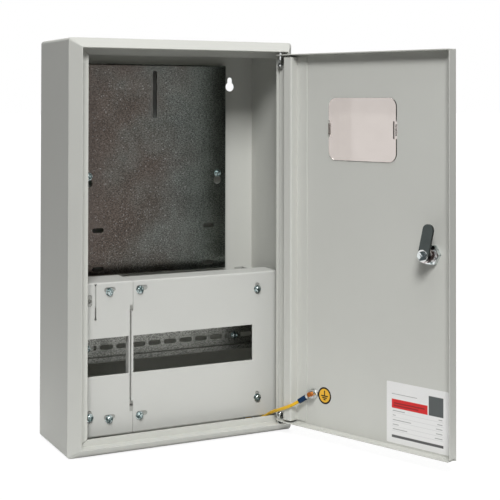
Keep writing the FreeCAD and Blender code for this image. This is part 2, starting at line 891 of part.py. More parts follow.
def make_door_stiffener():
    """Hat-shaped channel welded along the hinge side, with one narrow and one wide foot."""
    t = sheet
    u0 = stiffener_start
    u1 = stiffener_start + stiffener_width
    v0 = sheet
    v1 = door_flange_depth
    narrow_end = u0 - stiffener_hinge_foot
    wide_end = u1 + stiffener_foot
    profile = [(narrow_end, v0), (u0 + t, v0), (u0 + t, v1 - t), (u1 - t, v1 - t), (u1 - t, v0),
               (wide_end, v0), (wide_end, v0 + t), (u1, v0 + t), (u1, v1), (u0, v1), (u0, v0 + t),
               (narrow_end, v0 + t)]
    low = door_low + sheet + stiffener_end_gap
    high = door_high - sheet - stiffener_end_gap
    points = [V(opening_right - u, front + v, low) for u, v in profile]
    body = prism(points, V(0, 0, high - low))
    tip = front + v1
    body = round_edges(body, stiffener_bend_radius, lambda edge: lies_along(edge, V(0, 0, 1))
                       and abs(edge.BoundBox.Center.y - tip) < touch)
    return open_door(body)


def dome_pin(seat, direction, reach):
    """Hinge pin: a round shank and a hexagonal head with a domed end."""
    axis = V(0, 0, direction)
    head_start = seat + axis * reach
    flat_end = head_start + axis * (pin_head_height - pin_head_flats / 2)
    shank = rod(pin_radius, seat, head_start)
    head = hexagon(pin_head_flats, head_start, flat_end)
    dome = Part.makeSphere(pin_head_flats / 2, flat_end)
    return fuse_all([shank, head, dome])


def make_upper_hinge_pin():
    seat = V(hinge_x, hinge_y, top - frame_width + sheet + pin_tail)
    return dome_pin(seat, -1, upper_pin_reach + sheet + pin_tail)


def make_lower_hinge_pin():
    seat = V(hinge_x, hinge_y, bottom + frame_width - sheet - pin_tail)
    reach = door_low + sheet + lower_pin_play - seat.z
    return dome_pin(seat, 1, reach)


def make_hinge_nut():
    low = V(hinge_x, hinge_y, bottom + frame_width)
    high = low + V(0, 0, hinge_nut_height)
    return hexagon(pin_head_flats, low, high).cut(rod(pin_radius + thread_clearance, low, high))


def make_hinge_washer():
    low = V(hinge_x, hinge_y, bottom + frame_width + hinge_nut_height)
    high = V(hinge_x, hinge_y, door_low)
    return tube(hinge_washer_radius, pin_radius + thread_clearance, low, high)


def make_window_pane():
    """Clear moulding: a flange on the outside, a raised field in the cut-out, a clip each side."""
    centre = door_point(window_centre_u, 0, window_centre_height)
    flange = rounded_block(window_width + 2 * pane_flange, window_height + 2 * pane_flange,
                           window_radius + pane_flange, -pane_flange_thickness, 0)
    width = window_width - 2 * pane_clearance
    boss = rounded_block(width, window_height - 2 * pane_clearance, window_radius - pane_clearance, 0,
                         pane_boss_depth)
    pane = fuse_all([flange, boss])
    half = width / 2
    for side in (-1, 1):
        x0, x1 = sorted((side * half, side * (half - clip_pocket_width)))
        pocket = block(x0 - touch, x1 + touch, 0, pane_boss_depth + past, -clip_pocket_height / 2,
                       clip_pocket_height / 2)
        pane = pane.cut(pocket)
        barb_y = sheet + clip_play
        tip = barb_y + clip_barb_height + clip_tip
        root = -pane_flange_thickness / 2
        profile = [(half, root), (half, barb_y), (half + clip_barb, barb_y), (half, tip),
                   (half - clip_thickness, tip), (half - clip_thickness, root)]
        clip = prism([V(side * x, y, -clip_width / 2) for x, y in profile], V(0, 0, clip_width))
        pane = pane.fuse(clip)
    pane = pane.removeSplitter()
    pane.translate(centre)
    return open_door(pane)


def make_lock_body():
    head = rod(lock_head_radius, lock_axis(0), lock_axis(-lock_head_thickness))
    head = round_edges(head, lock_head_rounding, lambda edge: faces_front(edge, front - lock_head_thickness))
    body = rod(lock_body_radius, lock_axis(0), lock_axis(lock_body_length))
    mouth = lock_axis(-lock_head_thickness - past)
    bore = rod(lock_plug_radius + lock_plug_clearance, mouth, lock_axis(cam_v))
    return open_door(fuse_all([head, body]).cut(bore))


def make_lock_nut():
    nut = hexagon(lock_nut_flats, lock_axis(sheet), lock_axis(sheet + lock_nut_height))
    return open_door(nut.cut(rod(lock_body_radius + thread_clearance, lock_axis(0), lock_axis(cam_v))))


def make_lock_plug():
    """Turning cylinder with the key slot in front and a flatted tail that carries the cam."""
    shoulder = lock_axis(cam_v - lock_plug_shoulder)
    nose = rod(lock_plug_radius, lock_axis(-lock_head_thickness), shoulder)
    tail = block(-lock_tail_half, lock_tail_half, 0, lock_plug_shoulder + cam_thickness, -lock_tail_half,
                 lock_tail_half)
    tail.translate(shoulder)
    slot = block(-key_slot_width / 2, key_slot_width / 2, -past, key_slot_depth, -key_slot_length / 2,
                 key_slot_length / 2)
    slot.translate(lock_axis(-lock_head_thickness))
    thread = rod(m6_radius + thread_clearance, lock_axis(cam_v - cam_thread_depth),
                 lock_axis(cam_v + cam_thickness + past))
    return lean_cam(cut_all(fuse_all([nose, tail]), [slot, thread]))


def make_cam_lever():
    """Flat locking lever with round ends and a square eye on the plug's tail."""
    radius = cam_width / 2
    start = lock_axis(cam_v)
    through = V(0, cam_thickness, 0)
    tip = start + V(0, 0, cam_length - radius)
    bar = block(start.x - radius, start.x + radius, start.y, start.y + cam_thickness, start.z, tip.z)
    lever = fuse_all([rod(radius, start, start + through), rod(radius, tip, tip + through), bar])
    eye = lock_tail_half + lock_tail_clearance
    lever = lever.cut(block(start.x - eye, start.x + eye, start.y - past, start.y + cam_thickness + past,
                            start.z - eye, start.z + eye))
    return lean_cam(lever)


def make_cam_washer():
    start = lock_axis(cam_v + cam_thickness)
    end = start + V(0, washer_thickness, 0)
    return lean_cam(tube(cam_washer_radius, m6_radius + thread_clearance, start, end))


def make_cam_bolt():
    seat = lock_axis(cam_v + cam_thickness + washer_thickness)
    head = hexagon(cam_bolt_flats, seat, seat + V(0, cam_bolt_head, 0), 30.0)
    shank = rod(m6_radius, seat, lock_axis(cam_v - cam_bolt_reach))
    return lean_cam(fuse_all([head, shank]))


def ring_stack(base, direction):
    """Places along a stud: washer, ring, washer, nut; each is a start and an end point."""
    places = {}
    at = base
    for name, height in (("lower", washer_thickness), ("ring", ring_thickness),
                         ("upper", washer_thickness), ("nut", m6_nut_height)):
        end = at + direction * height
        places[name] = (at, end)
        at = end
    return places


door_base = door_point(door_stud_u, sheet, door_stud_height)
door_stack = ring_stack(door_base, V(0, 1, 0))
cabinet_base = V(cabinet_stud_x, cabinet_stud_y, bottom + sheet)
cabinet_stack = ring_stack(cabinet_base, V(0, 0, 1))


def earth_washers(stack):
    return Part.makeCompound([tube(washer_radius, m6_radius + thread_clearance, *stack[name])
                              for name in ("lower", "upper")])


def earth_nut(stack):
    start, end = stack["nut"]
    return hexagon(m6_nut_flats, start, end).cut(rod(m6_radius + thread_clearance, start, end))


def ring_terminal(stack, near, far):
    """Crimp ring: a flat ring, a bent neck and a barrel that starts at near and points at far."""
    start, end = stack["ring"]
    direction = (end - start).normalize()
    middle = (start + end) * 0.5
    axis = (far - near).normalize()
    barrel = rod(barrel_radius, near, near + axis * (far - near).Length * barrel_share)
    outward = near - middle
    outward = (outward - direction * outward.dot(direction)).normalize()
    across = direction.cross(outward).normalize() * (neck_width / 2)
    lift = axis.cross(across).normalize() * (ring_thickness / 2)
    lift = lift if lift.dot(direction) > 0 else lift * -1
    flat_lift = direction * (ring_thickness / 2)
    tongue_end = middle + outward * tongue_reach
    sections = []
    stations = ((middle + outward * neck_root, flat_lift), (tongue_end, flat_lift), (near + axis, lift))
    for point, rise in stations:
        corners = [point - across - rise, point + across - rise, point + across + rise, point - across + rise]
        sections.append(Part.makePolygon(corners + corners[:1]))
    neck = Part.makeLoft(sections, True, True)
    body = fuse_all([rod(ring_outer_radius, start, end), neck, barrel])
    return body.cut(rod(m6_radius + thread_clearance, start - direction, end + direction))


def terminal_sleeve(near, far):
    """Insulating sleeve over the barrel, open at the ring and closed round the wire at its far end."""
    axis = (far - near).normalize()
    covered = near + (far - near) * barrel_share + axis * sleeve_clearance
    outer = rod(sleeve_radius, near + axis * sleeve_setback, far)
    return outer.cut(rod(barrel_radius + sleeve_clearance, near, covered))


door_near = door_point(*door_sleeve_start)
door_far = door_point(*door_sleeve_end)
cabinet_near = V(cabinet_stud_x, cabinet_stud_y - cabinet_sleeve_start, bottom + cabinet_sleeve_height)
cabinet_far = cabinet_near - V(0, cabinet_sleeve_length, 0)


def swung(point):
    """Where a point of the closed door lies once the door is open."""
    turn = FreeCAD.Rotation(V(0, 0, 1), door_open_angle)
    hinge = V(hinge_x, hinge_y, 0)
    return hinge + turn.multVec(point - hinge)


def make_earth_wire():
    """Wire from the door's terminal over the frame's lower lip to the stud on the cabinet's floor."""
    door_end = swung(door_far)
    door_lead = door_end + (door_end - swung(door_near)).normalize() * wire_door_lead
    cabinet_lead = cabinet_far - V(0, wire_cabinet_lead, 0)
    middle = [V(hinge_x + x, hinge_y + y, at_height(z)) for x, y, z in wire_middle_points]
    points = [door_end, door_lead] + middle + [cabinet_lead, cabinet_far]
    edges = []
    at = points[0]
    for index in range(1, len(points) - 1):
        before, corner, after = points[index - 1], points[index], points[index + 1]
        arm_in = before - corner
        arm_out = after - corner
        run = min(arm_in.Length, arm_out.Length)
        turn = pi - arm_in.getAngle(arm_out)
        reach = wire_arc_share * run
        radius = reach / tan(turn / 2)
        start = corner + arm_in.normalize() * reach
        end = corner + arm_out.normalize() * reach
        bisector = (arm_in + arm_out).normalize()
        crest = corner + bisector * (hypot(radius, reach) - radius)
        print("wire radius", round(radius, 1), "turn", round(degrees(turn), 1))
        edges.append(Part.LineSegment(at, start).toShape())
        edges.append(Part.Arc(start, crest, end).toShape())
        at = end
    edges.append(Part.LineSegment(at, points[-1]).toShape())
    path = Part.Wire(edges)
    section = Part.Wire([Part.Circle(points[0], points[1] - points[0], wire_radius).toShape()])
    wire = path.makePipeShell([section], True, False)
    ratio = wire.Volume / (pi * wire_radius ** 2 * path.Length)
    print("wire length", round(path.Length, 1), "volume ratio", round(ratio, 4))
    return wire


def door_stud():
    start = door_point(door_stud_u, sheet, door_stud_height)
    return open_door(rod(m6_radius, start, start + V(0, door_stud_length - sheet, 0)))


def cabinet_stud():
    start = V(cabinet_stud_x, cabinet_stud_y, bottom)
    return rod(m6_radius, start, start + V(0, 0, cabinet_stud_length))


save("cabinet_shell", make_cabinet_shell())
save("back_panel", make_back_panel())
save("meter_plate", make_meter_plate())
save("plate_standoffs", make_plate_standoffs())
save("plate_screws", make_plate_screws())
save("din_rail", make_din_rail())
save("rail_brackets", make_rail_brackets())
save("rail_screws", make_rail_screws())
save("rail_nuts", make_rail_nuts())
save("right_cover", make_right_cover())
save("left_cover", make_left_cover())
save("upper_cover_bar", make_cover_bar(upper_screw_points()))
save("lower_cover_bar", make_cover_bar(lower_screw_points()))
save("cover_posts", make_cover_posts())
save("cover_screws", make_cover_screws())
save("upper_hinge_pin", make_upper_hinge_pin())
save("lower_hinge_pin", make_lower_hinge_pin())
save("hinge_nut", make_hinge_nut())
save("hinge_washer", make_hinge_washer())
save("door_panel", make_door_panel())
save("door_stiffener", make_door_stiffener())
save("window_pane", make_window_pane())
save("lock_body", make_lock_body())
save("lock_nut", make_lock_nut())
save("lock_plug", make_lock_plug())
save("cam_lever", make_cam_lever())
save("cam_washer", make_cam_washer())
save("cam_bolt", make_cam_bolt())
save("door_earth_stud", door_stud())
save("door_earth_washers", open_door(earth_washers(door_stack)))
save("door_earth_nut", open_door(earth_nut(door_stack)))
save("door_ring_terminal", open_door(ring_terminal(door_stack, door_near, door_far)))
save("door_terminal_sleeve", open_door(terminal_sleeve(door_near, door_far)))
save("cabinet_earth_stud", cabinet_stud())
save("cabinet_earth_washers", earth_washers(cabinet_stack))
save("cabinet_earth_nut", earth_nut(cabinet_stack))
save("cabinet_ring_terminal", ring_terminal(cabinet_stack, cabinet_near, cabinet_far))
save("cabinet_terminal_sleeve", terminal_sleeve(cabinet_near, cabinet_far))
save("earth_wire", make_earth_wire())
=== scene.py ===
import math

import bmesh
import bpy
from mathutils import Matrix, Vector


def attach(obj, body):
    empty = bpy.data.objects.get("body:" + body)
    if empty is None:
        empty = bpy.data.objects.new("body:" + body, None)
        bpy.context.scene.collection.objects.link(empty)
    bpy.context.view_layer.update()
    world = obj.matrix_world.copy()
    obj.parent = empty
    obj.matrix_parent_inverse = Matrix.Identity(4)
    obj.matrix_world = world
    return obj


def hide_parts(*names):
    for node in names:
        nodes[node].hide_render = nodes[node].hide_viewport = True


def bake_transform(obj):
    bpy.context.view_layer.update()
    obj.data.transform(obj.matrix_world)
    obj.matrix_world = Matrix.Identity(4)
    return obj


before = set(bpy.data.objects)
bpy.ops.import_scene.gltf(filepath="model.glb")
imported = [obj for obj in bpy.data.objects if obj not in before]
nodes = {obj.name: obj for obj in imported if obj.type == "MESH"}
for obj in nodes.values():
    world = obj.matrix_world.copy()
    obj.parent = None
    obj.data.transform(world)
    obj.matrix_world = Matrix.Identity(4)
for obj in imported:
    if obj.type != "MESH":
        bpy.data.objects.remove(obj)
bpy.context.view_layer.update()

scene = bpy.context.scene

# The open door, in metres: the films on its inner face are placed by these
hinge_line = Vector((0.129, -0.1243, 0.0))
door_swing = math.radians(110.5)
opening_right = 0.1375
rim_front = -0.130
floor_level = -0.250
door_sheet = 0.0012
film_thickness = 0.00012

# What the lamps are turned to
box_middle = Vector((0.03, -0.1, 0.0))

# Map layers of the printed films and of the wire's sheath
print_layer = "print"
sheath_layer = "sheath"
sheath_map_scale = 10.0

# Sockets of a Mix node that is set to colours
mix_factor = 0
mix_under = 6
mix_over = 7
mix_result = 2


class Value:
    """A shader socket that sums, products and masks can be written with."""

    def __init__(self, shading, socket):
        self.shading = shading
        self.socket = socket

    def output(self, name):
        """Another output of the same node."""
        return Value(self.shading, self.socket.node.outputs[name])

    def maths(self, operation, *terms):
        return self.shading.node("ShaderNodeMath", {"operation": operation}, dict(enumerate(terms)))

    def __add__(self, other):
        return self.maths("ADD", self, other)

    __radd__ = __add__

    def __sub__(self, other):
        return self.maths("SUBTRACT", self, other)

    def __rsub__(self, other):
        return self.maths("SUBTRACT", other, self)

    def __mul__(self, other):
        return self.maths("MULTIPLY", self, other)

    __rmul__ = __mul__

    def __pow__(self, other):
        return self.maths("POWER", self, other)

    def __rpow__(self, other):
        return self.maths("POWER", other, self)

    def __abs__(self):
        return self.maths("ABSOLUTE", self)

    def __or__(self, other):
        """The larger of two masks."""
        return self.maths("MAXIMUM", self, other)

    __ror__ = __or__

    def less_than(self, limit):
        """1 where the value is less than the limit and 0 elsewhere, with a sharp edge."""
        return self.maths("LESS_THAN", self, limit)

    def beyond(self, limit, blur):
        """A mask that rises smoothly from 0 to 1 as the value passes the limit."""
        return self.shading.node("ShaderNodeMapRange", {"interpolation_type": "SMOOTHSTEP"},
                                 {"Value": self, "From Min": limit - blur, "From Max": limit + blur})

    def under(self, limit, blur):
        return 1.0 - self.beyond(limit, blur)

    def within(self, low, high, blur):
        return self.beyond(low, blur) * self.under(high, blur)

    def swing(self, amount):
        """A texture's value about its middle, times the amount."""
        return (self - 0.5) * amount


class Shading:
    """A node tree that values and nodes are added to."""

    def __init__(self, tree):
        self.tree = tree

    def node(self, kind, settings=None, inputs=None, output=0):
        """Any node: its settings are set first, then the values or links of its sockets."""
        made = self.tree.nodes.new(kind)
        for name, value in (settings or {}).items():
            setattr(made, name, value)
        for name, value in (inputs or {}).items():
            self.join(made.inputs[name], value)
        return Value(self, made.outputs[output])

    def join(self, socket, value):
        if isinstance(value, Value):
            self.tree.links.new(value.socket, socket)
        else:
            socket.default_value = value

    def white_rays(self):
        """1 for what the camera, mirrors and glass see, and 0 for light that a dull surface has passed on."""
        rays = self.node("ShaderNodeLightPath", output="Is Camera Ray")
        seen = rays | rays.output("Is Glossy Ray") | rays.output("Is Transmission Ray")
        return seen * rays.output("Diffuse Depth").less_than(0.5)


class Finish(Shading):
    """One material: its Principled shader and the textures that vary it."""

    def __init__(self, name, constants):
        self.material = bpy.data.materials.new(name)
        self.material.use_nodes = True
        super().__init__(self.material.node_tree)
        self.shader = self.tree.nodes["Principled BSDF"]
        for socket, value in constants.items():
            self.shader.inputs[socket].default_value = value

    def feed(self, **values):
        """Links what varies over the surface to the shader; names are written with underscores."""
        for name, value in values.items():
            self.join(self.shader.inputs[name.replace("_", " ")], value)

    def place(self):
        """The point in the part's own frame, in metres."""
        return self.node("ShaderNodeTexCoord", output="Object")

    def map_place(self, layer):
        """The two coordinates of a piece's own map."""
        return self.split(self.node("ShaderNodeUVMap", {"uv_map": layer}))[:2]

    def split(self, vector):
        first = self.node("ShaderNodeSeparateXYZ", {}, {0: vector})
        return [first.output(axis) for axis in "XYZ"]

    def stretch(self, vector, scale):
        return self.node("ShaderNodeVectorMath", {"operation": "MULTIPLY"}, {0: vector, 1: scale})

    def noise(self, vector, scale, detail=2.0, roughness=0.5):
        return self.node("ShaderNodeTexNoise", {}, {"Vector": vector, "Scale": scale, "Detail": detail,
                                                    "Roughness": roughness})

    def blend(self, mask, under, over, manner="MIX"):
        """Colour under where the mask is 0 and over where it is 1; MULTIPLY takes their product instead."""
        return self.node("ShaderNodeMix", {"data_type": "RGBA", "blend_type": manner},
                         {mix_factor: mask, mix_under: paint(under), mix_over: paint(over)}, mix_result)

    def bump(self, height, distance):
        return self.node("ShaderNodeBump", {}, {"Height": height, "Distance": distance, "Strength": 1.0})


def paint(colour):
    return colour if isinstance(colour, Value) else (*colour, 1.0)


def grey(level):
    return (level, level, level)


def shade(colour, factor, lift=0.0):
    """The colour made darker or paler by a factor, then lifted."""
    return tuple(part * factor + lift for part in colour)


def powder_coat(name, colour, roughness):
    """Baked powder: fine orange peel, faint clouds in the colour and a few dust nibs."""
    finish = Finish(name, {"Specular IOR Level": 0.16})
    place = finish.place()
    clouds = finish.noise(place, scale=9.0, detail=3.0)
    speckle = finish.noise(place, scale=1500.0, detail=1.0)
    peel = finish.noise(place, scale=900.0, roughness=0.6)
    nibs = finish.noise(place, scale=240.0, detail=0.0).beyond(0.80, blur=0.02)
    tone = clouds * 0.7 + speckle * 0.3
    finish.feed(Base_Color=finish.blend(tone, shade(colour, 0.94), shade(colour, 1.05)),
                Roughness=roughness + peel.swing(0.12) + clouds.swing(0.08),
                Normal=finish.bump(peel + nibs * 1.5, distance=0.000014))
    return finish


def galvanised(name, dark, light, brown, green, roughness, painted_reflection_edge=0.3):
    """Dull zinc sheet: faint streaks, pale pinhead specks, brown stains on the left, and on the right a green
    tint that is partly stain and partly painted reflection.

    Further right than the edge given in metres, the sheet is painted paler still: a painted reflection.
    """
    finish = Finish(name, {"Metallic": 1.0})
    place = finish.place()
    streaks = finish.noise(finish.stretch(place, (0.5, 1.0, 1.0)), scale=900.0, roughness=0.6)
    patches = finish.noise(place, scale=30.0, detail=4.0, roughness=0.6)
    clouds = finish.noise(place, scale=16.0, detail=3.0)
    specks = finish.noise(place, scale=560.0, detail=1.0).beyond(0.70, blur=0.06)
    tone = streaks * 0.8 + patches * 0.2
    metal = finish.blend(tone.beyond(0.5, blur=0.12), dark, light)
    across = finish.split(place)[0]
    # Green towards the right is partly stain and partly painted reflection that lightens that side; past the
    # edge it is all painted reflection.
    rightness = across * 5.0 + clouds.swing(1.6) + 0.45
    stain_and_painted_reflection = finish.blend(rightness.beyond(0.5, blur=0.5), brown, green)
    stain_and_painted_reflection = finish.blend(across.beyond(painted_reflection_edge, blur=0.022), stain_and_painted_reflection, shade(green, 1.75))
    stained_and_painted_reflection = finish.blend(1.0, metal, stain_and_painted_reflection, "MULTIPLY")
    finish.feed(Base_Color=finish.blend(specks * 0.34, stained_and_painted_reflection, grey(0.42)),
                Roughness=roughness + streaks.swing(0.12) + patches.swing(0.10),
                Normal=finish.bump(streaks, distance=0.000008))
    return finish


def plated(name, colour, roughness, clouded=0.12):
    """Zinc or nickel plating with a soft haze, handling marks and fine machining lines."""
    finish = Finish(name, {"Metallic": 1.0})
    place = finish.place()
    haze = finish.noise(place, scale=90.0, detail=3.0, roughness=0.6)
    marks = finish.noise(finish.stretch(place, (1.0, 1.0, 4.0)), scale=1600.0, roughness=0.7)
    finish.feed(Base_Color=finish.blend(haze, shade(colour, 1.0 - clouded), colour),
                Roughness=roughness + haze.swing(0.18) + marks.swing(0.1),
                Normal=finish.bump(marks, distance=0.000012))
    return finish


def plating_with_painted_reflections(name, bright, dark, size, roughness):
    """Bright plating with dark patches painted in as reflections, whose size is given in metres."""
    finish = Finish(name, {"Metallic": 1.0})
    place = finish.place()
    # The dark patches in the colour are painted reflections; they are also made a little rougher.
    painted_reflection_patches = finish.noise(place, scale=1.0 / size, roughness=0.6).beyond(0.5, blur=0.05)
    marks = finish.noise(place, scale=1400.0, roughness=0.7)
    finish.feed(Base_Color=finish.blend(painted_reflection_patches, bright, dark),
                Roughness=roughness + painted_reflection_patches * 0.12 + marks.swing(0.08),
                Normal=finish.bump(marks, distance=0.000010))
    return finish


def moulded(name, colour, roughness):
    """Soft plastic sleeve with a fine grain and slightly paler rubbed spots."""
    finish = Finish(name, {"Specular IOR Level": 0.2})
    place = finish.place()
    grain = finish.noise(place, scale=1300.0)
    rubbed = finish.noise(place, scale=180.0).beyond(0.62, blur=0.12)
    finish.feed(Base_Color=finish.blend(rubbed, colour, shade(colour, 1.5, lift=0.012)),
                Roughness=roughness + grain.swing(0.15),
                Normal=finish.bump(grain, distance=0.00003))
    return finish


def clear_moulding(name, colour, paler):
    """Clear sheet of the window, faintly tinted, with moulding ripple and light scuffs."""
    finish = Finish(name, {"Transmission Weight": 1.0, "IOR": 1.49})
    place = finish.place()
    ripple = finish.noise(place, scale=55.0, detail=1.0)
    scuffs = finish.noise(finish.stretch(place, (1.0, 1.0, 3.0)), scale=420.0, detail=4.0, roughness=0.7)
    finish.feed(Base_Color=finish.blend(ripple, colour, paler),
                Roughness=0.05 + scuffs.beyond(0.66, blur=0.06) * 0.12,
                Normal=finish.bump(ripple, distance=0.00002))
    return finish


def striped_sheath(name):
    """Yellow sheath with one green stripe that winds slowly round it."""
    finish = Finish(name, {"Specular IOR Level": 0.3})
    around, along = finish.map_place(sheath_layer)
    turn = finish.node("ShaderNodeMath", {"operation": "FRACT"}, {0: around + along * 0.3})
    stripe = turn.within(0.40, 0.60, blur=0.02)
    grain = finish.noise(finish.place(), scale=1100.0)
    yellow = (0.78, 0.46, 0.02)
    green = (0.09, 0.22, 0.03)
    finish.feed(Base_Color=finish.blend(stripe, yellow, green),
                Roughness=0.42 + grain.swing(0.2),
                Normal=finish.bump(grain, distance=0.00002))
    return finish


def printed_label(name):
    """White film with plain fields: a red band, a grey block, a dark bar and rows of thin rules.

    Places on it are shares of its width, from the left, and of its height, from the bottom.
    """
    finish = Finish(name, {"Coat Weight": 0.15, "Coat Roughness": 0.25, "Specular IOR Level": 0.3})
    u, z = finish.map_place(print_layer)
    blur = 0.0025
    left = 0.085
    right = 0.915
    rule_height = 0.012
    hairline_low = 0.048
    hairline_high = 0.052
    red = (0.68, 0.018, 0.019)
    dark_red = (0.06, 0.008, 0.008)
    slate = (0.095, 0.105, 0.105)

    def field(start, end, low, high):
        return u.within(start, end, blur) * z.within(low, high, blur)

    hairlines = field(left, right, 0.20, 0.204)
    rules = field(left, 0.50, 0.80, 0.81)
    for low, name_end, entry_start in ((0.225, 0.34, 0.78), (0.30, 0.20, 0.80), (0.375, 0.40, 0.80),
                                       (0.45, 0.15, 0.82), (0.525, 0.30, 0.84)):
        high = low + rule_height
        rules = rules | field(0.10, name_end, low, high) | field(entry_start, 0.90, low, high)
        hairlines = hairlines | field(left, right, low + hairline_low, low + hairline_high)
    band = field(left, 0.667, 0.574, 0.722)
    band_lines = field(0.12, 0.62, 0.648, 0.668) | field(0.12, 0.52, 0.606, 0.626)
    block = field(0.685, right, 0.575, 0.885)
    bar = field(left, right, 0.092, 0.135)

    paper = finish.noise(finish.place(), scale=900.0)
    colour = finish.blend(paper, (0.84, 0.84, 0.83), (0.90, 0.90, 0.89))
    colour = finish.blend(hairlines * 0.5, colour, grey(0.30))
    colour = finish.blend(rules * 0.7, colour, grey(0.16))
    colour = finish.blend(band, colour, red)
    colour = finish.blend(band_lines * 0.65, colour, dark_red)
    colour = finish.blend(block, colour, slate)
    colour = finish.blend(bar, colour, grey(0.10))
    finish.feed(Base_Color=colour,
                Roughness=0.42 + paper.swing(0.12),
                Normal=finish.bump(paper, distance=0.00001))
    return finish


def earth_sign(name):
    """Round sign: yellow ground, black ring, and the standard earth symbol of a stem and three bars.

    Places on it are shares of its width, from its middle.
    """
    finish = Finish(name, {"Specular IOR Level": 0.3})
    u, z = finish.map_place(print_layer)
    across = abs(u - 0.5)
    up = z - 0.5
    blur = 0.008
    ring_radius = 0.40
    half_stem = 0.040
    stem_top = 0.30
    half_bar = 0.038
    black = (0.006, 0.003, 0.003)
    ring = ((across * across + up * up) ** 0.5).beyond(ring_radius, blur)
    bars = across.under(half_stem, blur) * up.within(0.0, stem_top, blur)
    for height, reach in ((-0.02, 0.26), (-0.13, 0.175), (-0.235, 0.085)):
        bars = bars | (across.under(reach, blur) * up.within(height - half_bar, height + half_bar, blur))
    grain = finish.noise(finish.place(), scale=1100.0)
    ground = finish.blend(grain, (0.84, 0.45, 0.03), (0.90, 0.52, 0.05))
    finish.feed(Base_Color=finish.blend(ring | bars, ground, black),
                Roughness=0.36 + grain.swing(0.15),
                Normal=finish.bump(grain, distance=0.00001))
    return finish


def coat(names, finish):
    """Gives CAD nodes a finish in all their material slots."""
    for name in names:
        slots = nodes[name].data.materials
        slots.clear()
        slots.append(finish.material)


def new_piece(name, mesh, finish):
    piece = bpy.data.objects.new(name, mesh)
    mesh.materials.append(finish.material)
    scene.collection.objects.link(piece)
    return piece


def door_point(u, v, height):
    """A point of the open door, in metres from its hinge side, its front face and the floor."""
    closed = Vector((opening_right - u, rim_front + v, floor_level + height))
    turned = Matrix.Rotation(door_swing, 3, "Z") @ (closed - hinge_line)
    return turned + hinge_line


def door_film(name, outline, centre, size, finish):
    """A thin film on the inside of the door, printed on its outer face.

    The outline is in metres about the film's centre.
    """
    mesh = bpy.data.meshes.new(name)
    work = bmesh.new()
    rings = []
    for lift in (0.0, film_thickness):
        rings.append([work.verts.new(door_point(centre[0] + u, door_sheet + lift, centre[1] + z))
                      for u, z in outline])
    work.faces.new(rings[1])
    work.faces.new(list(reversed(rings[0])))
    count = len(outline)
    for index in range(count):
        after = (index + 1) % count
        work.faces.new([rings[0][index], rings[0][after], rings[1][after], rings[1][index]])
    bmesh.ops.recalc_face_normals(work, faces=work.faces)
    printed = work.loops.layers.uv.new(print_layer)
    for ring in rings:
        for vertex, (u, z) in zip(ring, outline):
            for loop in vertex.link_loops:
                loop[printed].uv = (u / size[0] + 0.5, z / size[1] + 0.5)
    work.to_mesh(mesh)
    work.free()
    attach(new_piece(name, mesh, finish), "door")


def rounded_outline(width, height, radius, steps=6):
    """A rectangle about its middle, with each round corner in a few steps."""
    points = []
    for corner, (sx, sz) in enumerate(((1, 1), (-1, 1), (-1, -1), (1, -1))):
        for step in range(steps + 1):
            angle = math.radians(90.0 * (corner + step / steps))
            points.append((sx * (width / 2 - radius) + radius * math.cos(angle),
                           sz * (height / 2 - radius) + radius * math.sin(angle)))
    return points


def round_outline(width, steps=48):
    turns = (2 * math.pi * step / steps for step in range(steps))
    return [(width / 2 * math.cos(turn), width / 2 * math.sin(turn)) for turn in turns]


def smooth_route(name, points):
    """Points along a smooth curve held by the route's points."""
    curve = bpy.data.curves.new(name, "CURVE")
    curve.dimensions = "3D"
    spline = curve.splines.new("NURBS")
    spline.points.add(len(points) - 1)
    for point, place in zip(spline.points, points):
        point.co = (*place, 1.0)
    spline.order_u = 3
    spline.use_endpoint_u = True
    spline.resolution_u = 12
    line = bpy.data.objects.new(name, curve)
    scene.collection.objects.link(line)
    mesh = bpy.data.meshes.new_from_object(line)
    path = [vertex.co.copy() for vertex in mesh.vertices]
    bpy.data.objects.remove(line)
    bpy.data.meshes.remove(mesh)
    return path


def wire_tube(name, path, radius, finish, sides=20):
    """A closed tube round the path, and the path's length in metres.

    Its map runs from 0 to 1 round the tube, and along it in metres times the map scale.
    """
    mesh = bpy.data.meshes.new(name)
    work = bmesh.new()
    mapped = work.loops.layers.uv.new(sheath_layer)
    side = Vector((0.0, 0.0, 1.0))
    rings = []
    travelled = [0.0]
    for index, point in enumerate(path):
        before = path[max(index - 1, 0)]
        after = path[min(index + 1, len(path) - 1)]
        heading = (after - before).normalized()
        side = (side - heading * side.dot(heading)).normalized()
        other = heading.cross(side)
        rings.append([work.verts.new(point + (side * math.cos(turn) + other * math.sin(turn)) * radius)
                      for turn in (2 * math.pi * step / sides for step in range(sides))])
        if index:
            travelled.append(travelled[-1] + (point - before).length)
    for index in range(len(rings) - 1):
        for step in range(sides):
            near = (step + 1) % sides
            face = work.faces.new([rings[index][step], rings[index][near], rings[index + 1][near],
                                   rings[index + 1][step]])
            face.smooth = True
            turns = (step, step + 1, step + 1, step)
            runs = (travelled[index], travelled[index], travelled[index + 1], travelled[index + 1])
            for loop, turn, run in zip(face.loops, turns, runs):
                loop[mapped].uv = (turn / sides, run * sheath_map_scale)
    work.faces.new(list(reversed(rings[0])))
    work.faces.new(rings[-1])
    work.to_mesh(mesh)
    work.free()
    return new_piece(name, mesh, finish), travelled[-1]


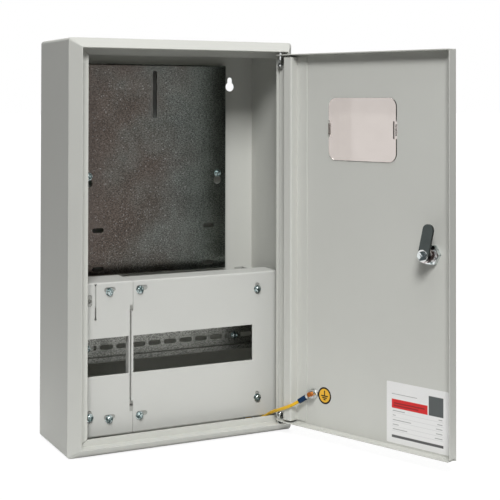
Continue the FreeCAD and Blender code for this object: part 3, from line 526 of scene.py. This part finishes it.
def pale_floor():
    """A wide pale floor that the camera sees white, with the box's soft shadow left on it."""
    half_width = 40.0
    gap = 0.0002
    shadow_middle = (0.03, -0.15)
    shadow_reach = 0.44
    shadow_fade = 0.16
    near_grey = grey(0.93)
    far_grey = grey(0.18)
    near_glow = 0.78
    level = floor_level - gap
    mesh = bpy.data.meshes.new("floor")
    corners = [(sx * half_width, sy * half_width, level) for sx, sy in ((-1, -1), (1, -1), (1, 1), (-1, 1))]
    mesh.from_pydata(corners, [], [(0, 1, 2, 3)])
    finish = Finish("pale floor", {"Roughness": 0.8, "Specular IOR Level": 0.2})
    distance = finish.node("ShaderNodeVectorMath", {"operation": "DISTANCE"},
                           {0: finish.place(), 1: (*shadow_middle, level)}, "Value")
    far = distance.beyond(shadow_reach, shadow_fade)
    finish.feed(Base_Color=finish.blend(far, near_grey, far_grey))
    seen = finish.white_rays() * (near_glow + far * (1.0 - near_glow))
    glow = finish.node("ShaderNodeEmission", {}, {"Strength": 1.1})
    lit = Value(finish, finish.shader.outputs[0])
    surface = finish.node("ShaderNodeMixShader", {}, {0: seen, 1: lit, 2: glow})
    finish.join(finish.tree.nodes["Material Output"].inputs["Surface"], surface)
    new_piece("floor", mesh, finish)


def room_light(level):
    """Even light from all round; the camera, mirrors and glass see plain white."""
    world = bpy.data.worlds.new("room")
    scene.world = world
    world.use_nodes = True
    shading = Shading(world.node_tree)
    strength = shading.node("ShaderNodeMapRange", {}, {"Value": shading.white_rays(), "To Min": level,
                                                       "To Max": 1.0})
    background = world.node_tree.nodes["Background"]
    background.inputs["Color"].default_value = paint(grey(1.0))
    shading.join(background.inputs["Strength"], strength)


def soft_lamp(name, place, size, power):
    """A square lamp, its size in metres, turned to the middle of the box."""
    lamp = bpy.data.lights.new(name, "AREA")
    lamp.shape = "SQUARE"
    lamp.size = size
    lamp.energy = power
    holder = bpy.data.objects.new(name, lamp)
    holder.location = place
    holder.rotation_euler = (box_middle - Vector(place)).to_track_quat("-Z", "Y").to_euler()
    scene.collection.objects.link(holder)


def photo_camera():
    """The camera that was fitted to the cabinet's edges; its view is measured in the photo's pixels."""
    place = (-0.58272, -1.47527, 0.17169)
    yaw = math.radians(26.94)
    pitch = math.radians(0.85)
    roll = math.radians(0.09)
    view_width = 500.0
    centre_x = 263.08
    centre_y = 85.55
    focal_length = 1186.78
    film_width = 36.0
    ahead = Vector((math.sin(yaw) * math.cos(pitch), math.cos(yaw) * math.cos(pitch), math.sin(pitch)))
    right = Vector((math.cos(yaw), -math.sin(yaw), 0.0))
    up = right.cross(ahead)
    side = right * math.cos(roll) + up * math.sin(roll)
    top = up * math.cos(roll) - right * math.sin(roll)
    lens = bpy.data.cameras.new("camera")
    lens.sensor_width = film_width
    lens.lens = focal_length * film_width / view_width
    lens.shift_x = (view_width / 2 - centre_x) / view_width
    lens.shift_y = (centre_y - view_width / 2) / view_width
    lens.clip_start = 0.05
    camera = bpy.data.objects.new("camera", lens)
    turned = Matrix((side, top, -ahead)).transposed().to_4x4()
    camera.matrix_world = Matrix.Translation(place) @ turned
    scene.collection.objects.link(camera)
    scene.camera = camera


# Finishes of the CAD nodes
coat(["cabinet_shell", "back_panel", "door_panel", "door_stiffener"],
     powder_coat("cabinet powder coat", (0.635, 0.64, 0.60), roughness=0.5))
# Bars and posts: the cabinet's coat painted darker, as painted shade for what shows through the cover slots.
coat(["upper_cover_bar", "lower_cover_bar", "cover_posts"],
     powder_coat("bar coat darkened as painted shade", (0.40, 0.405, 0.38), roughness=0.5))
coat(["right_cover", "left_cover"],
     powder_coat("cover powder coat", (0.635, 0.64, 0.61), roughness=0.42))
# The plate's green above 1 and its right edge paint reflection onto the plate's right side.
coat(["meter_plate"],
     galvanised("galvanised plate", dark=grey(0.046), light=grey(0.122), brown=(0.96, 0.80, 0.70),
                green=(1.15, 1.27, 1.17), roughness=0.19, painted_reflection_edge=0.064))
coat(["din_rail", "rail_brackets", "plate_standoffs"],
     galvanised("rail zinc", dark=grey(0.13), light=grey(0.36), brown=(0.98, 1.0, 0.92),
                green=(0.98, 1.0, 0.92), roughness=0.40))
# Screws, pins, nuts, bolt and lock core: the dark patches on their bright plating are painted reflections.
coat(["plate_screws", "rail_screws", "rail_nuts", "cover_screws"],
     plating_with_painted_reflections("screw zinc", (0.54, 0.62, 0.62), (0.09, 0.13, 0.13), size=0.0036, roughness=0.18))
coat(["upper_hinge_pin", "lower_hinge_pin", "hinge_nut"],
     plating_with_painted_reflections("pin zinc", (0.70, 0.72, 0.72), (0.05, 0.05, 0.05), size=0.0065, roughness=0.14))
coat(["lock_nut"],
     plating_with_painted_reflections("nut nickel", (0.72, 0.76, 0.76), (0.24, 0.28, 0.28), size=0.008, roughness=0.10))
coat(["lock_body", "lock_plug"],
     plating_with_painted_reflections("lock core", (0.62, 0.57, 0.56), (0.05, 0.03, 0.028), size=0.007, roughness=0.14))
coat(["cam_bolt"],
     plating_with_painted_reflections("bolt nickel", (0.66, 0.70, 0.70), (0.06, 0.075, 0.08), size=0.010, roughness=0.12))
coat(["hinge_washer", "cabinet_earth_washers", "cabinet_earth_nut", "door_earth_washers", "door_earth_nut",
      "cam_washer"],
     plated("washer zinc", (0.74, 0.75, 0.74), roughness=0.24))
coat(["cam_lever"],
     plated("cam steel", (0.085, 0.098, 0.096), roughness=0.34, clouded=0.35))
coat(["door_earth_stud", "cabinet_earth_stud"],
     plated("stud copper", (0.52, 0.17, 0.035), roughness=0.34))
coat(["door_ring_terminal", "cabinet_ring_terminal"],
     plated("ring tin", (0.70, 0.69, 0.66), roughness=0.30))
coat(["door_terminal_sleeve", "cabinet_terminal_sleeve"],
     moulded("sleeve blue", (0.001, 0.022, 0.070), roughness=0.40))
coat(["window_pane"],
     clear_moulding("window clear", colour=(0.55, 0.50, 0.47), paler=(0.595, 0.54, 0.51)))

# Earth wire
wire_route = [
    (0.136338, -0.161058, -0.203000),
    (0.129630, -0.155542, -0.208538),
    (0.122900, -0.141300, -0.215200),
    (0.122200, -0.128000, -0.220300),
    (0.122700, -0.115800, -0.224300),
    (0.121200, -0.100500, -0.233100),
    (0.118000, -0.086500, -0.240200),
    (0.114600, -0.074500, -0.243200),
    (0.113000, -0.066000, -0.243800),
    (0.113000, -0.059000, -0.243800),
]
wire_diameter = 0.004
wire_path = smooth_route("wire route", wire_route)
wire, wire_length = wire_tube("earth_lead", wire_path, wire_diameter / 2, striped_sheath("striped sheath"))
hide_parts("earth_wire")
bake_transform(wire)

# Films on the door
label_size = (0.0878, 0.072)
label_centre = (0.2185, 0.056)
label_corner = 0.0015
door_film("rating_label", rounded_outline(*label_size, label_corner), label_centre, label_size,
          printed_label("label film"))
sign_size = (0.021, 0.021)
sign_centre = (0.0787, 0.0578)
door_film("earth_sign", round_outline(sign_size[0]), sign_centre, sign_size, earth_sign("earth sign film"))

# Floor, light and camera
pale_floor()
room_light(0.015)
soft_lamp("key lamp", (-0.9, -2.2, 1.92), size=0.9, power=70.0)
soft_lamp("top lamp", (-0.1, -0.9, 2.6), size=1.3, power=18.0)
soft_lamp("back lamp", (1.5, 2.0, 1.6), size=1.5, power=62.0)
photo_camera()
scene.view_settings.view_transform = "Standard"
